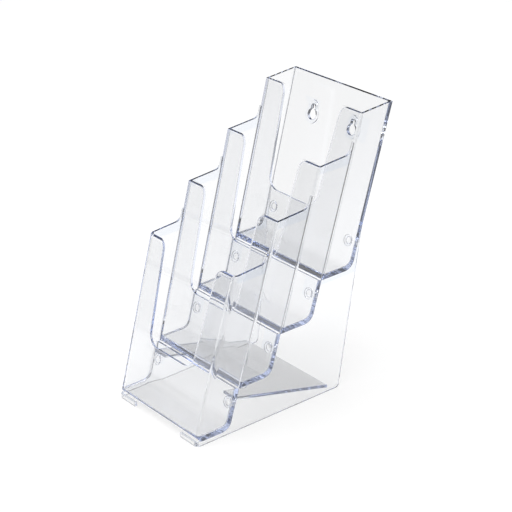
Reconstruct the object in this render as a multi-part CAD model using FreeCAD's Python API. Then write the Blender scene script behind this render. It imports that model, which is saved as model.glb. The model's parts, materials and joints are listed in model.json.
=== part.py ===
import FreeCAD, Part
import math
import os

# Four-tier leaflet holder in clear moulded plastic: four leaning pockets stepped one behind
# the other, carried by two side frames and a sloping web, and eight round studs pressed into
# their back walls.
# Seen from the front, +X is to the right, +Y runs to the back and +Z is up. The origin is on
# the countertop, in the middle of the holder's bounding box.

os.makedirs("parts", exist_ok=True)

# ---- Driving dimensions, in millimetres and radians ----
TIERS = 4
LEAN = math.radians(17.5)         # walls lean back from the vertical
FRONT_WIDTH = 114.0               # outside width at the front pocket's floor
SIDE_DRAFT = 0.020                # each side spreads by this much per mm up the wall
WALL = 2.5                        # walls and side frames
FLOOR = 3.5                       # pocket floors
TIER_BACK = 45.0                  # each pocket stands this far behind the last one
TIER_UP = 35.5                    # and this much higher
WALL_HEIGHT = 145.0               # front wall, measured along its slope
TOP_SLOPE = math.radians(4.5)     # side walls' top edges rise towards the back
SWEEP_RADIUS = 8.0                # side wall's sweep up to the next pocket
HORN_HEIGHT = 10.0                # and the horn that it ends in
HORN_WIDTH = 1.2
HEEL_RADIUS = 10.5                # rounded bottom rear corner, outside
LOW_BACK = 47.0                   # low back wall of the three front pockets, along its slope
NOSE_RADIUS = 5.0                 # front pocket's upright front corners
SEAM_RADIUS = 1.2                 # the same corners on the pockets behind it

# Leaflet cut-out in each front wall
CUT_TOP_HALF = 37.0               # half its width at the top of the wall
CUT_LOW_HALF = 30.5               # half its width just above the lip
LIP_HEIGHT = 55.5                 # lip left standing under it
CUT_EAR_RADIUS = 9.0              # rounded inner top corner of each flange
CUT_LIP_RADIUS = 12.0             # rounded bottom corners

# Keyholes for wall hanging
KEY_X = 26.5                      # from the centre line
KEY_BELOW_TOP = 34.5              # entry hole's centre below the back's top edge
KEY_ENTRY_R = 5.0
KEY_SLOT_R = 2.25
KEY_RISE = 7.0                    # slot's end above the entry hole's centre
KEY_RIM = 3.3                     # width of the raised rim round the keyhole
KEY_RIM_HEIGHT = 0.8

# Round studs pressed into the pockets' back walls
STUD_X = 49.0
STUD_UP = 32.5                    # above each pocket's front bottom edge, along the wall
STUD_HEAD_R = 5.0
STUD_HEAD = 1.2                   # head's thickness, let into the wall
STUD_SHANK_R = 3.0

# Stand
FOOT_HEIGHT = 4.2                 # front pocket's floor above the countertop
BASE_DEPTH = 154.0                # countertop footprint, front to back
REAR_LEAN = math.radians(10.2)    # rear edge of the side frames
REAR_CORNER = 4.0
TOE_LENGTH = 24.0                 # front foot strip, inward from each corner
WEB = 2.5
WEB_FRONT_DROP = 7.5              # web's front edge below the second pocket's floor
WEB_REAR_Y = 141.5                # web's rear end behind the front foot line
WEB_REAR_Z = 6.2                  # and its top face there above the countertop
WEB_GROOVE = 1.2                  # web's ends are let into the frames by this much
WEB_NOTCH_HALF = 40.0
WEB_NOTCH_DEPTH = 26.0
WEB_NOTCH_RADIUS = 7.0

# ---- Sizes that follow from them ----
SIN = math.sin(LEAN)
COS = math.cos(LEAN)
STEP = TIER_BACK * COS - TIER_UP * SIN       # one pocket's depth, square to its walls
RISE = TIER_BACK * SIN + TIER_UP * COS       # one pocket's rise, along its walls
TOP_RUN = math.tan(LEAN + TOP_SLOPE)         # top edge's rise along the wall per mm of depth
REAR_TOP = (TIERS - 1) * RISE + WALL_HEIGHT + STEP * TOP_RUN
DEPTH = REAR_TOP * SIN + TIERS * STEP * COS  # front foot line to the top rear corner
REACH = 90.0                                 # half the width of the cutting blocks
AWAY = 400.0                                 # well past every edge of the holder


def point(x, up, back):
    """A point measured along the walls (up) and square to them (back)."""
    y = up * SIN + back * COS - DEPTH / 2
    z = up * COS - back * SIN + FOOT_HEIGHT
    return FreeCAD.Vector(x, y, z)


def level_point(x, y, z):
    """A point measured from the front foot line and the countertop."""
    return FreeCAD.Vector(x, y - DEPTH / 2, z)


def wall_coordinates(y, z):
    """The (up, back) place of a point given from the foot line and the countertop."""
    height = z - FOOT_HEIGHT
    return y * SIN + height * COS, y * COS - height * SIN


ACROSS = FreeCAD.Vector(1, 0, 0)
BACKWARDS = FreeCAD.Vector(0, COS, -SIN)
UPWARDS = FreeCAD.Vector(0, SIN, COS)


def rounded_wire(corners, place):
    """Closed wire through corners (a, b, radius); place turns (a, b) into a 3-D point."""
    arcs = []
    for index, (a, b, radius) in enumerate(corners):
        corner = FreeCAD.Vector(a, b, 0)
        last = corners[index - 1]
        following = corners[(index + 1) % len(corners)]
        to_last = (FreeCAD.Vector(last[0], last[1], 0) - corner).normalize()
        to_next = (FreeCAD.Vector(following[0], following[1], 0) - corner).normalize()
        half = to_last.getAngle(to_next) / 2
        run = radius / math.tan(half)
        bisector = (to_last + to_next).normalize()
        middle = corner + bisector * (radius / math.sin(half) - radius)
        arcs.append((corner + to_last * run, middle, corner + to_next * run, radius))
    edges = []
    for index, (start, middle, end, radius) in enumerate(arcs):
        if radius > 0:
            ends = [place(p.x, p.y) for p in (start, middle, end)]
            edges.append(Part.Arc(*ends).toShape())
        onward = arcs[(index + 1) % len(arcs)][0]
        if (onward - end).Length > 1e-6:
            edges.append(Part.LineSegment(place(end.x, end.y), place(onward.x, onward.y)).toShape())
    return Part.Wire(edges)


def slab(corners):
    """Block with the given side outline in (up, back), wider than the holder."""
    wire = rounded_wire(corners, lambda up, back: point(-REACH, up, back))
    return Part.Face(wire).extrude(ACROSS * (2 * REACH))


def plate(corners, front, thickness):
    """Plate parallel to the walls, with its outline in (x, up) and its front face at front."""
    wire = rounded_wire(corners, lambda x, up: point(x, up, front))
    return Part.Face(wire).extrude(BACKWARDS * thickness)


def peg(x, up, front, radius, length):
    """Round peg square to the walls."""
    return Part.makeCylinder(radius, length, point(x, up, front), BACKWARDS)


def half_width(up, inset):
    return FRONT_WIDTH / 2 + SIDE_DRAFT * up - inset


def between_sides(inset):
    """The drafted space between the two side faces, each moved inward by inset."""
    corners = []
    for side, up in ((-1, -AWAY / 2), (1, -AWAY / 2), (1, AWAY), (-1, AWAY)):
        corners.append((side * half_width(up, inset), up, 0))
    return plate(corners, -AWAY / 4, AWAY)


def upright_edges(shape, front, inset):
    """The two long edges where a block's front face meets its sides."""
    found = []
    for edge in shape.Edges:
        ends = [vertex.Point for vertex in edge.Vertexes]
        if len(ends) != 2 or edge.Length < WALL_HEIGHT / 3:
            continue
        offsets = [(end - point(0, 0, front)).dot(BACKWARDS) for end in ends]
        widths = []
        for end in ends:
            up = (end - point(0, 0, 0)).dot(UPWARDS)
            widths.append(abs(abs(end.x) - half_width(up, inset)))
        if max(abs(value) for value in offsets + widths) < 0.01:
            found.append(edge)
    return found


# ---- Pockets ----
def pocket_outline(tier):
    """Side outline of one pocket in (up, back): front wall, top edge, back and rounded heel."""
    floor_up = tier * RISE
    front = tier * STEP
    rear = front + STEP
    top_front = floor_up + WALL_HEIGHT
    top_rear = top_front + STEP * TOP_RUN
    corners = [(floor_up, front, 0), (top_front, front, 0)]
    if tier < TIERS - 1:
        corners.append((top_rear - HORN_WIDTH * TOP_RUN, rear - HORN_WIDTH, SWEEP_RADIUS))
        corners.append((top_rear + HORN_HEIGHT, rear - HORN_WIDTH, 0))
        corners.append((top_rear + HORN_HEIGHT, rear, 0))
    else:
        corners.append((top_rear, rear, 0))
    corners.append((floor_up + STEP * SIN / COS, rear, HEEL_RADIUS))
    return corners


def cavity_outline(tier):
    """Side outline of the room inside one pocket, open at the top and above its low back."""
    floor_up = tier * RISE
    front = tier * STEP + WALL
    rear = (tier + 1) * STEP - WALL
    above = floor_up + WALL_HEIGHT + STEP
    floor_front = floor_up + WALL * SIN / COS + FLOOR / COS
    floor_rear = floor_up + (STEP - WALL) * SIN / COS + FLOOR / COS
    corners = [(floor_front, front, SEAM_RADIUS), (above, front, 0)]
    if tier < TIERS - 1:
        corners.append((above, rear + STEP, 0))
        corners.append((floor_up + LOW_BACK, rear + STEP, 0))
        corners.append((floor_up + LOW_BACK, rear, 0))
    else:
        corners.append((above, rear, 0))
    corners.append((floor_rear, rear, HEEL_RADIUS - WALL))
    return corners


def leaflet_cut(tier):
    """The wide notch in a front wall that a leaflet is taken out through."""
    floor_up = tier * RISE
    brow = floor_up + WALL_HEIGHT + WALL * TOP_RUN
    ear = CUT_TOP_HALF + 1.3 * CUT_EAR_RADIUS
    lip = floor_up + LIP_HEIGHT
    corners = [
        (-ear, brow + WALL, 0),
        (-ear, brow, 0),
        (-CUT_TOP_HALF, brow, CUT_EAR_RADIUS),
        (-CUT_LOW_HALF, lip, CUT_LIP_RADIUS),
        (CUT_LOW_HALF, lip, CUT_LIP_RADIUS),
        (CUT_TOP_HALF, brow, CUT_EAR_RADIUS),
        (ear, brow, 0),
        (ear, brow + WALL, 0),
    ]
    return plate(corners, tier * STEP - WALL, 3 * WALL)


def stud_places(tier):
    """(x, up) of a pocket's two studs."""
    return [(side * STUD_X, tier * RISE + STUD_UP) for side in (-1, 1)]


def stud(x, up, tier, head_r, shank_r):
    """Stud, or the stepped hole it fills: a flat head let into the wall and a shank."""
    face = (tier + 1) * STEP - WALL
    head = peg(x, up, face, head_r, STUD_HEAD)
    return head.fuse(peg(x, up, face, shank_r, WALL)).removeSplitter()


def keyhole(x, margin, front, thickness):
    """Keyhole block: entry hole with a narrower slot above it, grown by margin."""
    up = REAR_TOP - KEY_BELOW_TOP
    slot_r = KEY_SLOT_R + margin
    entry = peg(x, up, front, KEY_ENTRY_R + margin, thickness)
    slot_end = peg(x, up + KEY_RISE, front, slot_r, thickness)
    corners = [
        (x - slot_r, up, 0),
        (x + slot_r, up, 0),
        (x + slot_r, up + KEY_RISE, 0),
        (x - slot_r, up + KEY_RISE, 0),
    ]
    return entry.fuse([slot_end, plate(corners, front, thickness)]).removeSplitter()


def pocket_block(tier):
    """Outside of one pocket as a solid block, with its upright front corners rounded."""
    block = slab(pocket_outline(tier)).common(between_sides(0))
    radius = NOSE_RADIUS if tier == 0 else SEAM_RADIUS
    return block.makeFillet(radius, upright_edges(block, tier * STEP, 0))


def pocket_cavity(tier):
    room = slab(cavity_outline(tier)).common(between_sides(WALL))
    radius = NOSE_RADIUS - WALL if tier == 0 else SEAM_RADIUS
    return room.makeFillet(radius, upright_edges(room, tier * STEP + WALL, WALL))


def pocket(tier):
    shape = pocket_block(tier).cut(pocket_cavity(tier)).cut(leaflet_cut(tier))
    if tier == TIERS - 1:
        back_face = TIERS * STEP - WALL
        for side in (-1, 1):
            rim = keyhole(side * KEY_X, KEY_RIM, back_face - KEY_RIM_HEIGHT, KEY_RIM_HEIGHT)
            shape = shape.fuse(rim)
        for side in (-1, 1):
            hole = keyhole(side * KEY_X, 0, back_face - WALL, 3 * WALL)
            shape = shape.cut(hole)
    for x, up in stud_places(tier):
        shape = shape.cut(stud(x, up, tier, STUD_HEAD_R, STUD_SHANK_R))
    return shape.removeSplitter()


# ---- Stand ----
def web_line():
    """(y, z) of the web's top face at its front and rear ends, from the foot line."""
    front_z = FOOT_HEIGHT + TIER_UP - WEB_FRONT_DROP
    front_y = (STEP + (front_z - FOOT_HEIGHT) * SIN) / COS
    return (front_y, front_z), (WEB_REAR_Y, WEB_REAR_Z)


def web():
    """Sloping plate between the frames, with a wide notch in its front edge."""
    (front_y, front_z), (rear_y, rear_z) = web_line()
    slope = math.atan2(front_z - rear_z, rear_y - front_y)
    drop = WEB / math.cos(slope)
    ends = [(front_y, front_z), (rear_y, rear_z), (rear_y, rear_z - drop)]
    low_z = front_z - drop
    low_y = (STEP + (low_z - FOOT_HEIGHT) * SIN) / COS
    ends.append((low_y, low_z))
    sheet = slab([wall_coordinates(y, z) + (0,) for y, z in ends])
    sheet = sheet.common(between_sides(WALL - WEB_GROOVE))
    notch = [
        (-WEB_NOTCH_HALF, -WEB_NOTCH_DEPTH, 0),
        (-WEB_NOTCH_HALF, WEB_NOTCH_DEPTH, WEB_NOTCH_RADIUS),
        (WEB_NOTCH_HALF, WEB_NOTCH_DEPTH, WEB_NOTCH_RADIUS),
        (WEB_NOTCH_HALF, -WEB_NOTCH_DEPTH, 0),
    ]
    wire = rounded_wire(notch, lambda x, y: level_point(x, front_y + y, 0))
    return sheet.cut(Part.Face(wire).extrude(FreeCAD.Vector(0, 0, AWAY / 4)))


def frame_outline():
    """Side outline of a frame: foot line, rear edge, and a line inside the pockets."""
    lean = math.tan(REAR_LEAN)
    top_z = (TIERS * STEP - BASE_DEPTH * COS - FOOT_HEIGHT * SIN) / (lean * COS - SIN)
    front_foot = wall_coordinates(0, 0)
    rear_foot = wall_coordinates(BASE_DEPTH, 0)
    rear_top = wall_coordinates(BASE_DEPTH + top_z * lean, top_z)
    inside = HEEL_RADIUS
    return [
        front_foot + (0,),
        rear_foot + (REAR_CORNER,),
        rear_top + (0,),
        (TIERS * RISE + inside, TIERS * STEP, 0),
        (inside, 0, 0),
        (0, 0, 0),
    ]


def toe(side):
    """Foot strip that turns the front corner under the front pocket."""
    inner = side * (half_width(0, 0) - TOE_LENGTH)
    corner = level_point(min(inner, inner + side * AWAY), 0, 0)
    strip = Part.makeBox(AWAY, WALL, FOOT_HEIGHT, corner)
    return strip.common(between_sides(0))


def frame(side, web_plate):
    """One side frame: a sheet under the pockets' steps, with its toe."""
    profile = slab(frame_outline())
    for tier in range(TIERS):
        profile = profile.cut(slab(pocket_outline(tier)))
    corner = FreeCAD.Vector(min(0, side * AWAY), -AWAY / 2, -WALL)
    half = Part.makeBox(AWAY, AWAY, AWAY, corner)
    shape = profile.common(between_sides(0)).cut(between_sides(WALL)).common(half)
    shape = shape.fuse(toe(side)).removeSplitter()
    shape = shape.makeFillet(NOSE_RADIUS, [edge for edge in shape.Edges if is_nose(edge)])
    return shape.cut(web_plate)


def is_nose(edge):
    """True for the upright outer corner between a frame's side and its toe."""
    for vertex in edge.Vertexes:
        if abs(vertex.Point.y + DEPTH / 2) > 0.01:
            return False
        if abs(vertex.Point.x) < half_width(-2 * FOOT_HEIGHT, 0):
            return False
    return edge.Length > FOOT_HEIGHT / 2


POCKET_NAMES = ("front_pocket", "second_pocket", "third_pocket", "rear_pocket")
STUD_TIERS = ("front", "second", "third", "rear")
SIDES = ((-1, "left"), (1, "right"))


def main():
    nodes = {}
    for tier, name in enumerate(POCKET_NAMES):
        nodes[name] = pocket(tier)
    nodes["stand_web"] = web()
    for side, word in SIDES:
        nodes[word + "_stand_frame"] = frame(side, nodes["stand_web"])
    for tier, row in enumerate(STUD_TIERS):
        for (x, up), (_, word) in zip(stud_places(tier), SIDES):
            nodes[row + "_" + word + "_stud"] = stud(x, up, tier, STUD_HEAD_R, STUD_SHANK_R)
    whole = FreeCAD.BoundBox()
    for name, shape in nodes.items():
        whole.add(shape.BoundBox)
        print(name, len(shape.Solids), "solid", round(shape.Volume), "mm3", shape.isValid())
        shape.exportStep("parts/" + name + ".step")
    print("size", [round(value, 2) for value in (whole.XLength, whole.YLength, whole.ZLength)])
    print("from", [round(value, 3) for value in (whole.XMin, whole.YMin, whole.ZMin)])


main()
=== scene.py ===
# %% [markdown]
# # A tiered leaflet holder in clear plastic
#
# The real object is a stack of four narrow pockets, each one step higher and further back than the
# last, standing on two thin side frames. Everything is moulded from the same clear plastic,
# so there is no paint, print or cloth to lean on: the whole look comes from thin walls, softly
# rounded edges and the light that bends through them.
#
# The CAD model gives the places and the sizes. This script dresses it: it rounds the edges, gives
# the plastic its optics, turns the studs, and sets up a plain pale studio.

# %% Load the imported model
import json
import math

import bmesh
import bpy
import numpy as np
from mathutils import Matrix, Vector


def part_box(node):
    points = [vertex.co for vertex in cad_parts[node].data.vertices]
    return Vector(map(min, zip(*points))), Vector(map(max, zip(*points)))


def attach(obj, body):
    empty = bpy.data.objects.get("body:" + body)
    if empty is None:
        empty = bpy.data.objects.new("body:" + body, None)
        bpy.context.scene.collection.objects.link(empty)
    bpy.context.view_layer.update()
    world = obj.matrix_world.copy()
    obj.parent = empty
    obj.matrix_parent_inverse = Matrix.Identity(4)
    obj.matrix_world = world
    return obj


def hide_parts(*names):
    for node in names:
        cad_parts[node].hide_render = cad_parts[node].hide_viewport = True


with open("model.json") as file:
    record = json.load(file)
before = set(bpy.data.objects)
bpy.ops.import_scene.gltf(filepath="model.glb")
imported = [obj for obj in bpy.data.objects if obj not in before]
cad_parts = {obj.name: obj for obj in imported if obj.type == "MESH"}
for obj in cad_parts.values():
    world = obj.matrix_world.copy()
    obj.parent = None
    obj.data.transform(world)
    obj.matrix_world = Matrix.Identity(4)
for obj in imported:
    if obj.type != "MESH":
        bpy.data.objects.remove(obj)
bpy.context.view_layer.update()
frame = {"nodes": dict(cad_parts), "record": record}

MM = 0.001
print("CAD nodes:", len(frame["nodes"]))

# %% [markdown]
# ## Writing shader maths as plain expressions
#
# A material on real plastic is a few rules: "rougher where it was scratched", "bluer where more
# plastic lies behind". In Blender each rule is a handful of Math nodes. They could be added one by
# one, but then the rule is hard to read. Here a small class wraps a socket, and the ordinary
# operators add the Math nodes, so the rule can be read as the sentence it is.

# %% A socket that understands arithmetic
class Wire:
    """One output socket of a material, with operators that add Math nodes."""

    def __init__(self, shop, socket):
        self.shop = shop
        self.socket = socket

    def maths(self, operation, *values):
        return self.shop.node("Math", {"operation": operation}, dict(enumerate(values)))

    def __add__(self, other):
        return self.maths("ADD", self, other)

    def __radd__(self, other):
        return self.maths("ADD", other, self)

    def __mul__(self, other):
        return self.maths("MULTIPLY", self, other)

    def __rmul__(self, other):
        return self.maths("MULTIPLY", other, self)

    def between(self, low, high):
        """0 below low, 1 above high, and a soft step from one to the other."""
        return self.shop.node(
            "MapRange",
            {"interpolation_type": "SMOOTHSTEP"},
            {"Value": self, "From Min": low, "From Max": high},
        )


class Finish:
    """A material under construction: one Principled shader and what is wired to it."""

    def __init__(self, name):
        self.material = bpy.data.materials.new(name)
        self.material.use_nodes = True
        self.nodes = self.material.node_tree.nodes
        self.links = self.material.node_tree.links
        self.shader = self.nodes["Principled BSDF"]
        self.output = self.nodes["Material Output"]

    def node(self, kind, settings=None, inputs=None, output=0):
        """Adds one node: its settings first, then the value or the link of each named input."""
        made = self.nodes.new("ShaderNode" + kind)
        for name, value in (settings or {}).items():
            setattr(made, name, value)
        for name, value in (inputs or {}).items():
            self.plug(made.inputs[name], value)
        return Wire(self, made.outputs[output])

    def plug(self, socket, value):
        if isinstance(value, Wire):
            self.links.new(value.socket, socket)
        else:
            socket.default_value = value

    def set(self, **inputs):
        """Sets the shader's own inputs, with _ standing for a space."""
        for name, value in inputs.items():
            self.plug(self.shader.inputs[name.replace("_", " ")], value)

    def place(self):
        """Where a point lies on the piece, in metres."""
        return self.node("TexCoord", output="Object")

    def attribute(self, name):
        """A number stored on the mesh."""
        return self.node("Attribute", {"attribute_name": name}, output="Fac")

    def noise(self, size, detail=2.0, stretch=(1, 1, 1), roughness=0.5):
        """Cloudy noise whose blobs are about size metres across, stretched along each axis."""
        spread = self.node("Mapping", {}, {"Vector": self.place(),
                                           "Scale": tuple(1 / s for s in stretch)})
        return self.node("TexNoise", {}, {"Vector": spread, "Scale": 1 / size,
                                          "Detail": detail, "Roughness": roughness})

    def mix(self, amount, low, high):
        """A colour between low and high."""
        return self.node("Mix", {"data_type": "RGBA"}, {0: amount, 6: low, 7: high}, output=2)


print("material helpers ready")

# %% [markdown]
# ## Clear moulded plastic
#
# The plastic is a clear polystyrene. Looked at square on, a wall nearly vanishes. Looked at along
# its length, the same wall is a pale blue violet, because a tint too weak to see in 2.5 mm adds up
# over 50 mm. That could be faked by painting the edges blue. It is truer to give the inside of
# the plastic a weak absorption, so that the tint comes by itself wherever light travels far.
#
# Moulding leaves the faces slightly wavy, which bends reflections, and handling leaves fine
# scratches, which show as a little roughness. Both are noise in the piece's own space.

# %% The optics that every piece shares
REFRACTION = 1.57
TINT = (0.34, 0.48, 0.86, 1.0)         # what is left of white light far inside the plastic
TINT_DENSITY = 6.5
CLEAR = (0.977, 0.979, 0.981, 1.0)     # at a face with a thin wall behind it
DEEP = (0.90, 0.925, 0.96, 1.0)        # at a face with a long way to go behind it
THIN_WALL = 6 * MM
LONG_WAY = 40 * MM
POLISHED = 0.012                       # roughness of a face as it left the mould
HAZE = 0.01                            # what handling adds to it in clouds
HAZE_SIZE = 40 * MM
SCRATCH_SIZE = 3 * MM
SCRATCH_GRAIN = (1, 1, 6)              # scratches run up and down, as leaflets slide
RING_HEIGHT = 0.35                     # of a turned ring, against a moulding wave
print("absorbed tint:", TINT[:3], "density:", TINT_DENSITY)


# %% The clear plastic itself
def clear_plastic(name, wave, wave_height, scratch, flow=(1, 1, 1), ring=None):
    """Clear plastic with moulding waves of that size and height, and that much scratching.

    ring is the spacing of turned rings, for a piece whose mesh knows its distance from an axis."""
    finish = Finish(name)
    depth = finish.attribute("plastic_behind").between(THIN_WALL, LONG_WAY)
    finish.set(
        Base_Color=finish.mix(depth, CLEAR, DEEP),
        IOR=REFRACTION,
        Transmission_Weight=1.0,
    )
    scratches = finish.noise(SCRATCH_SIZE, detail=6, stretch=SCRATCH_GRAIN).between(0.55, 0.8)
    haze = finish.noise(HAZE_SIZE).between(0.35, 0.75)
    finish.set(Roughness=POLISHED + scratches * scratch + haze * HAZE)
    waves = finish.noise(wave, stretch=flow)
    if ring:
        turns = finish.attribute("from_axis") * (2 * math.pi / ring)
        waves = waves + turns.maths("SINE", turns) * RING_HEIGHT
    finish.set(Normal=finish.node("Bump", {}, {"Height": waves, "Strength": 1.0,
                                               "Distance": wave_height}))
    inside = finish.node("VolumeAbsorption", {}, {"Color": TINT, "Density": TINT_DENSITY})
    finish.links.new(inside.socket, finish.output.inputs["Volume"])
    return finish.material


pocket_plastic = clear_plastic("pocket_plastic", 22 * MM, 0.02 * MM, 0.03, (1, 1, 2))
stand_plastic = clear_plastic("stand_plastic", 30 * MM, 0.02 * MM, 0.05)
stud_plastic = clear_plastic("stud_plastic", 6 * MM, 0.012 * MM, 0.04, ring=1.2 * MM)
print("clear plastics:", pocket_plastic.name, stand_plastic.name, stud_plastic.name)

# %% [markdown]
# ## Rounded edges
#
# No moulded edge is perfectly sharp. The small radius is what catches the light and draws each
# wall as a fine line. A Bevel modifier rounds every edge sharper than a limit, and a Weighted
# Normal modifier keeps the big faces flat while the roundings shade softly.
#
# The pieces touch in the CAD model. Two glassy faces in the same place confuse a renderer, so each
# copy is first drawn in by a few hundredths of a millimetre, as thin as a film of cement.

# %% Join a CAD node's triangles
SAME_POINT = 0.002 * MM
FLAT = math.radians(0.3)
PATCH = 20 * MM                        # large faces are cut about this often
CUT_REACH = 0.05 * MM                  # points this near a cut are used by it


def merged_copy(node):
    """The node's mesh with its loose triangles joined into faces, cut into patches."""
    work = bmesh.new()
    work.from_mesh(frame["nodes"][node].data)
    bmesh.ops.remove_doubles(work, verts=work.verts, dist=SAME_POINT)
    bmesh.ops.dissolve_limit(work, angle_limit=FLAT, verts=work.verts, edges=work.edges)
    low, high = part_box(node)
    for axis in (Vector((1, 0, 0)), Vector((0, 0, 1))):
        length = (high - low).dot(axis)
        cuts = max(1, round(length / PATCH))
        for number in range(1, cuts):
            bmesh.ops.bisect_plane(
                work, geom=work.verts[:] + work.edges[:] + work.faces[:], dist=CUT_REACH,
                plane_co=low + axis * (length * number / cuts), plane_no=axis,
            )
    return work


print("patches, mm:", PATCH / MM)

# %% Draw the faces in
CEMENT_FILM = 0.02 * MM
NEARLY_PARALLEL = 0.2                  # normals closer than this count as one
LONGEST_MOVE = 3                       # times the film, before a corner moves straight in


def draw_in(work, amount):
    """Moves every face inwards by amount, keeping corners where their faces meet."""
    moves = []
    for corner in work.verts:
        normals = np.array([f.normal for f in corner.link_faces if f.normal.length > 0.5])
        inwards = np.full(len(normals), -amount)
        move = Vector(np.linalg.lstsq(normals, inwards, rcond=NEARLY_PARALLEL)[0])
        sharp_corner = move.length >= LONGEST_MOVE * amount
        moves.append(move.normalized() * amount if sharp_corner else move)
    for corner, move in zip(work.verts, moves):
        corner.co += move


print("film between pieces, mm:", CEMENT_FILM / MM)

# %% Add a piece, and turn what its modifiers make into a plain mesh
def finished_mesh(piece):
    """Turns what the modifiers make of the piece into its plain mesh."""
    state = bpy.context.evaluated_depsgraph_get()
    mesh = bpy.data.meshes.new_from_object(
        piece.evaluated_get(state), preserve_all_data_layers=True, depsgraph=state
    )
    piece.modifiers.clear()
    piece.data = mesh
    mesh.name = piece.name
    return mesh


def new_piece(name, mesh, material):
    """An object at the origin that wears one material."""
    piece = bpy.data.objects.new(name, mesh)
    bpy.context.scene.collection.objects.link(piece)
    mesh.materials.clear()
    mesh.materials.append(material)
    return piece


print("piece helpers ready")

# %% Round the edges
EDGE_RADIUS = 0.25 * MM
SHARP = math.radians(28)
BIG_FACE_WEIGHT = 80


def rounded_piece(node, material):
    """A piece that stands for a CAD node: the same shape with rounded edges."""
    work = merged_copy(node)
    draw_in(work, CEMENT_FILM)
    mesh = bpy.data.meshes.new(node + "_shell")
    work.to_mesh(mesh)
    work.free()
    mesh.shade_smooth()
    piece = new_piece(node + "_clear", mesh, material)
    bevel = piece.modifiers.new("rounding", "BEVEL")
    bevel.width = EDGE_RADIUS
    bevel.segments = 2
    bevel.limit_method = "ANGLE"
    bevel.angle_limit = SHARP
    bevel.use_clamp_overlap = False
    bevel.miter_outer = "MITER_ARC"
    flat = piece.modifiers.new("flat faces", "WEIGHTED_NORMAL")
    flat.weight = BIG_FACE_WEIGHT
    return piece


print("edge radius, mm:", EDGE_RADIUS / MM)


# %% [markdown]
# ## How much plastic lies behind each face
#
# The tint on a thick edge depends on how far a ray can run inside the plastic before it gets out.
# Geometry Nodes can measure that: from each face a ray goes straight in, and the length to the
# far side is stored as a number on the face. The material reads it back by name.

# %% The ray that measures the plastic
SKIN = 0.05 * MM                       # the ray starts this far under the face
LONGEST_RAY = 0.2


def depth_tree():
    tree = bpy.data.node_groups.new("plastic_depth", "GeometryNodeTree")
    face = tree.interface
    face.new_socket("Geometry", in_out="INPUT", socket_type="NodeSocketGeometry")
    skin = face.new_socket("Skin", in_out="INPUT", socket_type="NodeSocketFloat")
    longest = face.new_socket("Longest", in_out="INPUT", socket_type="NodeSocketFloat")
    face.new_socket("Geometry", in_out="OUTPUT", socket_type="NodeSocketGeometry")
    entry = tree.nodes.new("NodeGroupInput")
    leave = tree.nodes.new("NodeGroupOutput")
    ray = tree.nodes.new("GeometryNodeRaycast")
    place = tree.nodes.new("GeometryNodeInputPosition")
    normal = tree.nodes.new("GeometryNodeInputNormal")
    inwards = tree.nodes.new("ShaderNodeVectorMath")
    inwards.operation = "SCALE"
    inwards.inputs["Scale"].default_value = -1.0
    step = tree.nodes.new("ShaderNodeVectorMath")
    step.operation = "SCALE"
    start = tree.nodes.new("ShaderNodeVectorMath")
    start.operation = "ADD"
    store = tree.nodes.new("GeometryNodeStoreNamedAttribute")
    store.data_type = "FLOAT"
    store.domain = "FACE"
    store.inputs["Name"].default_value = "plastic_behind"
    for a, b in (
        (entry.outputs["Geometry"], ray.inputs["Target Geometry"]),
        (normal.outputs[0], inwards.inputs[0]),
        (inwards.outputs[0], step.inputs[0]),
        (entry.outputs["Skin"], step.inputs["Scale"]),
        (place.outputs[0], start.inputs[0]),
        (step.outputs[0], start.inputs[1]),
        (start.outputs[0], ray.inputs["Source Position"]),
        (inwards.outputs[0], ray.inputs["Ray Direction"]),
        (entry.outputs["Longest"], ray.inputs["Ray Length"]),
        (entry.outputs["Geometry"], store.inputs["Geometry"]),
        (ray.outputs["Hit Distance"], store.inputs["Value"]),
        (store.outputs["Geometry"], leave.inputs["Geometry"]),
    ):
        tree.links.new(a, b)
    return tree, skin.identifier, longest.identifier


plastic_depth, skin_id, longest_id = depth_tree()


def measure_depth(piece):
    """Runs the ray tree on a piece."""
    ray = piece.modifiers.new("plastic depth", "NODES")
    ray.node_group = plastic_depth
    ray[skin_id] = SKIN
    ray[longest_id] = LONGEST_RAY


print("depth tree nodes:", len(plastic_depth.nodes))

# %% [markdown]
# ## Pockets and stand
#
# The real pockets are thin trays with a wide cut-out, so that a leaflet can be gripped, and the
# stand is two thin sheets with a sloping plate between them. They could be modelled afresh, but the
# CAD nodes already have the right walls and curves. So each is copied, rounded and measured, and
# the copy takes the node's place.

# %% The pockets and the stand
BODY = "root"
pockets = ["front_pocket", "second_pocket", "third_pocket", "rear_pocket"]
stand = ["left_stand_frame", "right_stand_frame", "stand_web"]
for node in pockets + stand:
    material = pocket_plastic if node in pockets else stand_plastic
    piece = rounded_piece(node, material)
    measure_depth(piece)
    mesh = finished_mesh(piece)
    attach(piece, BODY)
    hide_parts(node)
    size = [round(s / MM, 1) for s in piece.dimensions]
    print(piece.name, "mm:", size, "faces:", len(mesh.polygons))

# %% [markdown]
# ## Eight round studs
#
# A round stud, pressed in flush, closes each stepped hole in the pockets' back walls. Its rim and
# the step behind it show through the clear plastic as two thin rings.
#
# A stud is a turned shape: one outline spun round an axis. Geometry Nodes does that for all eight
# with one tree. The outline is a short line of edges. The tree rounds its corners, sweeps it round
# a circle, closes the two poles, and stands the result on the chosen mark. It also stores how far
# each point lies from the axis, which the material turns into the fine rings of the moulding.

# %% Read the studs' sizes and places from the CAD nodes
stud_nodes = sorted(n for n in frame["nodes"] if n.endswith("_stud"))
lean_ray = [m for m in frame["record"]["mounts"] if m["kind"] == "bolt_pattern"][0]["axis"]
INTO_WALL = Vector(lean_ray).normalized()


RIM_DEPTH = 0.05 * MM


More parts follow.
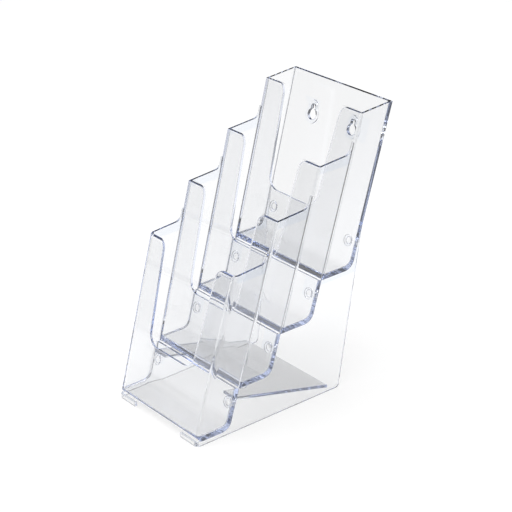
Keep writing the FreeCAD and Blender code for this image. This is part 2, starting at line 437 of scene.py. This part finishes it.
def front_of(node):
    """The middle of a stud's front face."""
    points = [v.co for v in frame["nodes"][node].data.vertices]
    front = min(p.dot(INTO_WALL) for p in points)
    rim = [p for p in points if p.dot(INTO_WALL) < front + RIM_DEPTH]
    low = Vector(min(p[k] for p in rim) for k in range(3))
    high = Vector(max(p[k] for p in rim) for k in range(3))
    return (low + high) / 2


stud_marks = [front_of(node) for node in stud_nodes]
first = [v.co for v in frame["nodes"][stud_nodes[0]].data.vertices]
away = [p - stud_marks[0] for p in first]
HEAD_RADIUS = max(p.x for p in away)
STUD_LENGTH = max(p.dot(INTO_WALL) for p in away)
behind_head = [p for p in away if p.dot(INTO_WALL) > STUD_LENGTH - RIM_DEPTH]
SHANK_RADIUS = max(p.x for p in behind_head)
HEAD_DEPTH = max(p.dot(INTO_WALL) for p in away if p.x > (HEAD_RADIUS + SHANK_RADIUS) / 2)
print("stud, mm: head", round(2 * HEAD_RADIUS / MM, 2), "x", round(HEAD_DEPTH / MM, 2),
      "shank", round(2 * SHANK_RADIUS / MM, 2), "length", round(STUD_LENGTH / MM, 2))

# %% The tree that turns a stud
PROFILE_STEPS = 3                      # points in each rounded corner
ROUND_STEPS = 48                       # points in the circle


def stud_tree():
    """Turns an outline into a stud, and says which identifier each input has."""
    tree = bpy.data.node_groups.new("turned_stud", "GeometryNodeTree")
    face = tree.interface
    face.new_socket("Outline", in_out="INPUT", socket_type="NodeSocketGeometry")
    kinds = {"Radius": "Float", "Rounding": "Float", "Place": "Vector", "Turn": "Vector",
             "Plastic": "Material"}
    sizes = {}
    for name, kind in kinds.items():
        socket = face.new_socket(name, in_out="INPUT", socket_type="NodeSocket" + kind)
        sizes[name] = socket.identifier
    face.new_socket("Stud", in_out="OUTPUT", socket_type="NodeSocketGeometry")
    made = {}

    def add(name, kind, settings=None, values=None):
        made[name] = tree.nodes.new(kind)
        for key, value in (settings or {}).items():
            setattr(made[name], key, value)
        for key, value in (values or {}).items():
            made[name].inputs[key].default_value = value

    add("in", "NodeGroupInput")
    add("out", "NodeGroupOutput")
    add("line", "GeometryNodeMeshToCurve")
    add("round", "GeometryNodeFilletCurve", {"mode": "POLY"}, {"Count": PROFILE_STEPS})
    add("circle", "GeometryNodeCurvePrimitiveCircle", {}, {"Resolution": ROUND_STEPS})
    add("sweep", "GeometryNodeCurveToMesh")
    add("close", "GeometryNodeMergeByDistance", {}, {"Distance": SAME_POINT})
    add("place", "GeometryNodeInputPosition")
    add("split", "ShaderNodeSeparateXYZ")
    add("flat", "ShaderNodeCombineXYZ")
    add("reach", "ShaderNodeVectorMath", {"operation": "LENGTH"})
    add("store", "GeometryNodeStoreNamedAttribute", {"data_type": "FLOAT", "domain": "POINT"},
        {"Name": "from_axis"})
    add("mark", "GeometryNodePoints")
    add("stand", "GeometryNodeInstanceOnPoints")
    add("real", "GeometryNodeRealizeInstances")
    add("smooth", "GeometryNodeSetShadeSmooth")
    add("coat", "GeometryNodeSetMaterial")
    for a, from_socket, b, to_socket in (
        ("in", "Outline", "line", "Mesh"),
        ("line", "Curve", "round", "Curve"),
        ("in", "Rounding", "round", "Radius"),
        ("in", "Radius", "circle", "Radius"),
        ("circle", "Curve", "sweep", "Curve"),
        ("round", "Curve", "sweep", "Profile Curve"),
        ("sweep", "Mesh", "close", "Geometry"),
        ("close", "Geometry", "store", "Geometry"),
        ("place", "Position", "split", "Vector"),
        ("split", "X", "flat", "X"),
        ("split", "Y", "flat", "Y"),
        ("flat", "Vector", "reach", 0),
        ("reach", "Value", "store", "Value"),
        ("in", "Place", "mark", "Position"),
        ("mark", "Points", "stand", "Points"),
        ("store", "Geometry", "stand", "Instance"),
        ("in", "Turn", "stand", "Rotation"),
        ("stand", "Instances", "real", "Geometry"),
        ("real", "Geometry", "smooth", "Geometry"),
        ("smooth", "Geometry", "coat", "Geometry"),
        ("in", "Plastic", "coat", "Material"),
        ("coat", "Geometry", "out", "Stud"),
    ):
        tree.links.new(made[a].outputs[from_socket], made[b].inputs[to_socket])
    return tree, sizes


turned_stud, stud_inputs = stud_tree()
print("stud tree nodes:", len(turned_stud.nodes))

# %% Turn the eight studs
STUD_ROUNDING = 0.3 * MM
STUD_GAP = 0.06 * MM
step_depth = HEAD_DEPTH - CEMENT_FILM
outline = [
    (0, 0), (HEAD_RADIUS, 0), (HEAD_RADIUS, step_depth), (SHANK_RADIUS, step_depth),
    (SHANK_RADIUS, STUD_LENGTH), (0, STUD_LENGTH),
]
lean_turn = Vector((0, 0, -1)).rotation_difference(INTO_WALL).to_euler()
for node, mark in zip(stud_nodes, stud_marks):
    mesh = bpy.data.meshes.new(node + "_outline")
    corners = []
    for radius, depth in outline:
        corners.append((max(radius - STUD_GAP, 0) - HEAD_RADIUS, depth, 0))
    mesh.from_pydata(corners, [(k, k + 1) for k in range(len(corners) - 1)], [])
    piece = new_piece(node + "_clear", mesh, stud_plastic)
    turning = piece.modifiers.new("turning", "NODES")
    turning.node_group = turned_stud
    values = {"Radius": HEAD_RADIUS, "Rounding": STUD_ROUNDING, "Place": mark,
              "Turn": Vector(lean_turn), "Plastic": stud_plastic}
    for name, value in values.items():
        turning[stud_inputs[name]] = value
    measure_depth(piece)
    mesh = finished_mesh(piece)
    mesh.set_sharp_from_angle(angle=SHARP)
    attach(piece, BODY)
    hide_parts(node)
    low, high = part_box(node)
    seen = [v.co for v in mesh.vertices]
    print(piece.name, "CAD mm:", [round(v / MM, 1) for v in (*low, *high)], "made mm:",
          [round(f(v[k] for v in seen) / MM, 1) for f in (min, max) for k in range(3)],
          "faces:", len(mesh.polygons))

# %% [markdown]
# ## The studio floor
#
# Clear plastic shows mostly what stands around it, so the floor is half of the look. A real studio
# uses a sheet of white paper, lit from above and a little from below, which keeps the shadow under
# a clear object pale. Here the paper has a grey base for the light from above and a glow of its own
# for the light from below.
#
# The paper is bright near the holder. A ray that has bounced about inside a thick edge leaves
# it nearly level and meets the paper far away, or the room behind it. Those are made dark for such
# rays only, as dark cards round a photographer's table do, and so the thin edges draw dark lines.

# %% The floor
FLOOR_HALF = 6.0
FLOOR_DROP = 0.2 * MM
NEAR_PAPER, FAR_PAPER = 0.45, 1.1
GLOW, FAR_GLOW = 0.74, 0.20


def bounced(finish):
    """1 for a ray that has already been reflected, and 0 for one that came straight."""
    return finish.node("LightPath", output="Glossy Depth").between(0, 1)


def grey(level):
    return (level, level, level, 1)


floor_mesh = bpy.data.meshes.new("floor")
floor_mesh.from_pydata(
    [(x * FLOOR_HALF, y * FLOOR_HALF, 0) for x, y in ((-1, -1), (1, -1), (1, 1), (-1, 1))],
    [], [(0, 1, 2, 3)],
)
paper = Finish("studio_paper")
distance = paper.node("VectorMath", {"operation": "LENGTH"}, {0: paper.place()}, output="Value")
dimmed = distance.between(NEAR_PAPER, FAR_PAPER) * bounced(paper)
grain = paper.noise(2 * MM, detail=4)
paper.set(
    Base_Color=paper.mix(grain, grey(0.31), grey(0.33)),
    Roughness=0.9,
    Emission_Color=paper.mix(dimmed, grey(GLOW), grey(FAR_GLOW)),
    Emission_Strength=1.0,
)
floor = new_piece("floor", floor_mesh, paper.material)
floor.location.z = -FLOOR_DROP
print("floor, m:", 2 * FLOOR_HALF, "glow near and far:", GLOW, FAR_GLOW)

# %% [markdown]
# ## The light
#
# One large softbox hangs overhead, and a weak one stands on the left. The room itself is white
# where it is seen straight or through the clear walls, and dark for light that was reflected
# first. A plain white room would be simpler, but then no edge of the plastic would have anything
# dark to show.

# %% The room and two softboxes
SEEN_ROOM, REFLECTED_ROOM = 1.0, 0.14
world = bpy.data.worlds.new("studio")
bpy.context.scene.world = world
world.use_nodes = True
nodes, links = world.node_tree.nodes, world.node_tree.links
path = nodes.new("ShaderNodeLightPath")
clean = nodes.new("ShaderNodeMath")
clean.operation = "ADD"
links.new(path.outputs["Glossy Depth"], clean.inputs[0])
links.new(path.outputs["Diffuse Depth"], clean.inputs[1])
room = nodes.new("ShaderNodeMapRange")
room.inputs["To Min"].default_value = SEEN_ROOM
room.inputs["To Max"].default_value = REFLECTED_ROOM
links.new(clean.outputs[0], room.inputs["Value"])
links.new(room.outputs["Result"], nodes["Background"].inputs["Strength"])
nodes["Background"].inputs["Color"].default_value = (1, 1, 1, 1)


def softbox(name, place, size, power, aim=(0, 0, 0.1)):
    lamp = bpy.data.lights.new(name, "AREA")
    lamp.shape = "SQUARE"
    lamp.size = size
    lamp.energy = power
    holder = bpy.data.objects.new(name, lamp)
    holder.location = place
    toward = Vector(aim) - Vector(place)
    holder.rotation_euler = toward.to_track_quat("-Z", "Y").to_euler()
    bpy.context.scene.collection.objects.link(holder)
    print(name, "softbox, m:", size, "watts:", power)


softbox("overhead", (0, 0, 2.6), 2.4, 72)
softbox("left_side", (-2.2, -0.8, 1.2), 1.4, 4)

# %% [markdown]
# ## The camera
#
# The holder is seen from the front right and from above with a long lens, as on a product page. A
# long lens far away keeps the upright walls nearly parallel; a short lens near by would make the
# tiers shrink towards the back. The picture is plain, with no tone curve, so white paper is white.

# %% The camera
camera_data = bpy.data.cameras.new("camera")
camera = bpy.data.objects.new("camera", camera_data)
bpy.context.scene.collection.objects.link(camera)
CAMERA_PLACE = Vector((1.0, -0.76323, 0.71191))
CAMERA_AIM = Vector((0.00897, 0.01148, 0.121))
CAMERA_ROLL = math.radians(-1.925)
LENS, SENSOR, SIDE_SHIFT = 114.33, 36, -0.0226     # mm, mm, picture widths
EDGE_BOUNCES = 48                      # light rattles about inside a thick clear edge
camera_data.lens = LENS
camera_data.sensor_width = SENSOR
camera_data.shift_x = SIDE_SHIFT
turn = (CAMERA_AIM - CAMERA_PLACE).to_track_quat("-Z", "Y").to_matrix()
turn = turn @ Matrix.Rotation(CAMERA_ROLL, 3, "Z")
camera.matrix_world = Matrix.Translation(CAMERA_PLACE) @ turn.to_4x4()
bpy.context.scene.camera = camera
bpy.context.scene.view_settings.view_transform = "Standard"
cycles = bpy.context.scene.cycles
cycles.max_bounces = EDGE_BOUNCES
cycles.transmission_bounces = EDGE_BOUNCES
cycles.glossy_bounces = EDGE_BOUNCES
cycles.diffuse_bounces = 3
print("camera, m:", [round(v, 3) for v in CAMERA_PLACE], "lens, mm:", camera_data.lens)
